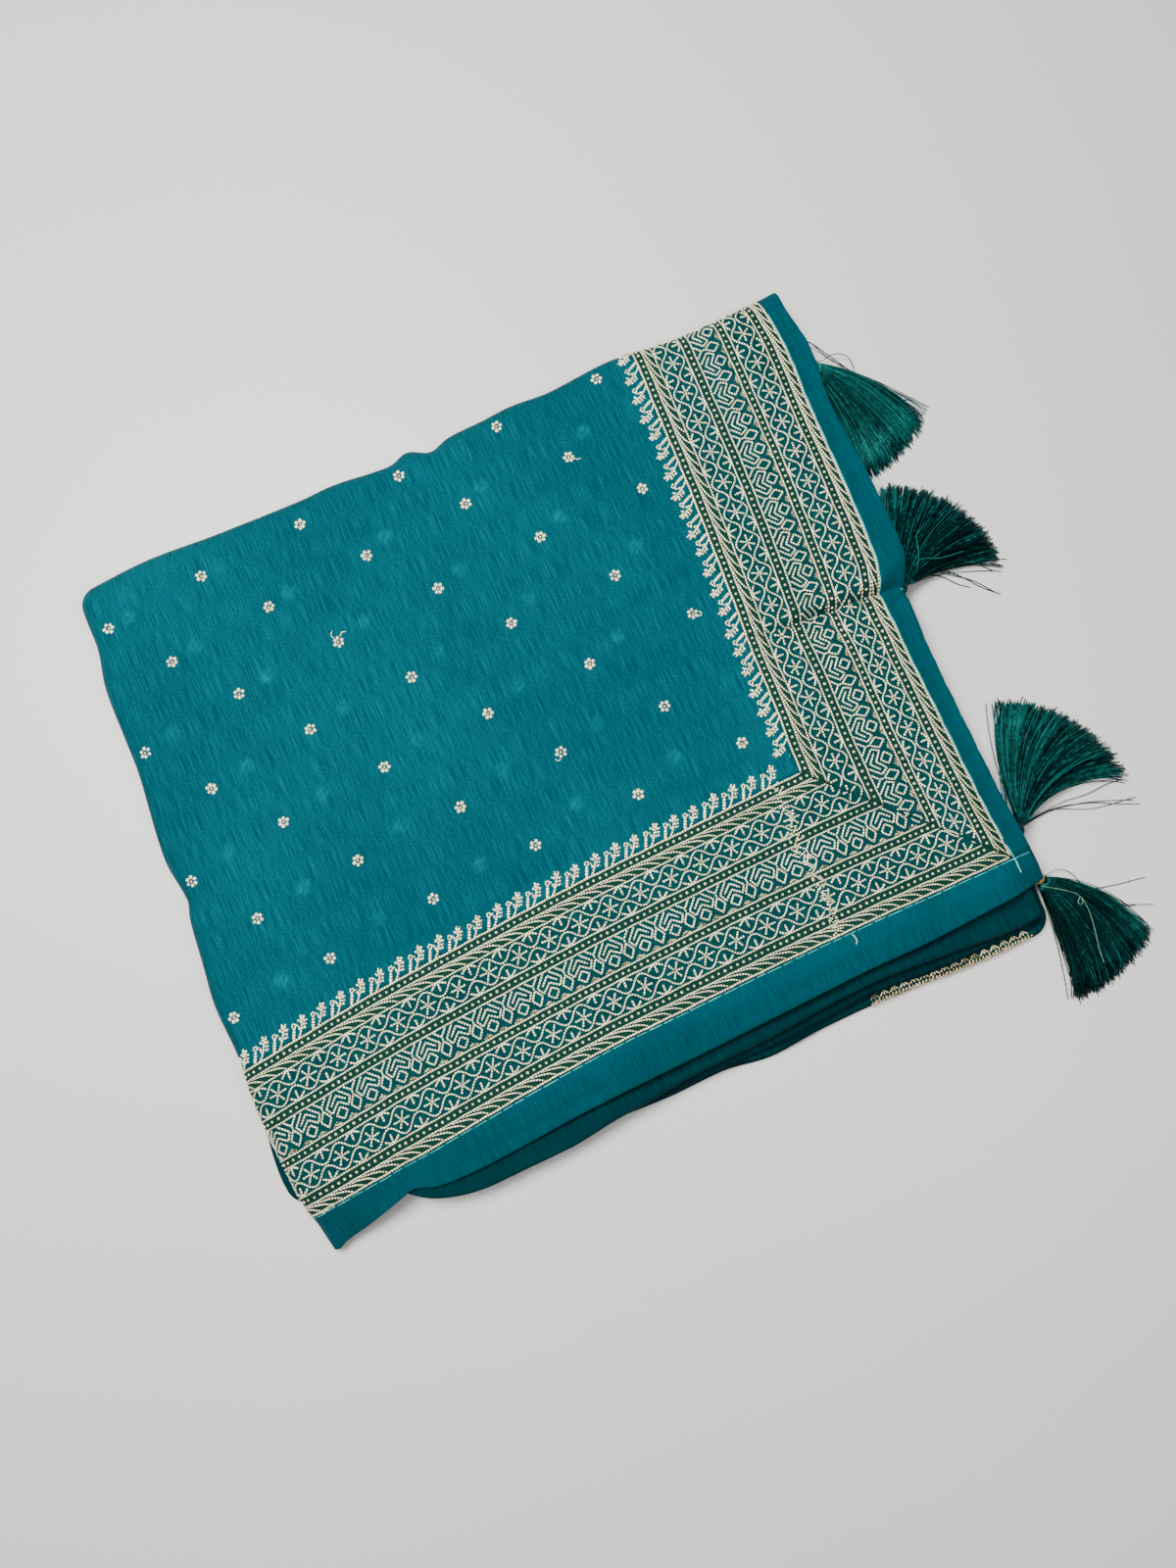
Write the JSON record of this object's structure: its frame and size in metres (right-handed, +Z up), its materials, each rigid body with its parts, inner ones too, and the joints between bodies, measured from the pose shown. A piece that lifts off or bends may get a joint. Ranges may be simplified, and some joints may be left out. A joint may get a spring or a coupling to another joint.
{
  "type": "folded sari",
  "caption": "Sari folded into a flat packet, with an embroidered border along its selvedge and across its pallu, plain turned hems and silk tassels along the pallu's edge.",
  "frame": {"origin": "middle of the packet's flat underside, where it rests", "axes": "+X along the selvedge towards the pallu's edge and its tassels, +Y from the front flap to the fold at the back, +Z up out of the folded packet"},
  "size_m": [0.3997, 0.3352, 0.0256],
  "materials": {
    "field_cloth": "soft silk blend with a fine slub weave and a low sheen",
    "border_thread": "pale gold and cream thread embroidery on dark teal cloth",
    "hem_cloth": "turned plain silk blend",
    "under_cloth": "soft silk blend, folded",
    "tassel_silk": "glossy twisted silk thread",
    "gold_wire": "fine gold-coloured wire"
  },
  "bodies": {
    "root": {"field_panel": "field_cloth", "long_border": "border_thread", "pallu_border": "border_thread", "long_hem": "hem_cloth", "pallu_hem": "hem_cloth", "second_stretch": "under_cloth", "inner_folds": "under_cloth", "lowest_stretch": "under_cloth", "tassel_1": "tassel_silk", "tassel_2": "tassel_silk", "tassel_3": "tassel_silk", "tassel_4": "tassel_silk", "neck_wrap": "gold_wire"}
  },
  "joints": []
}
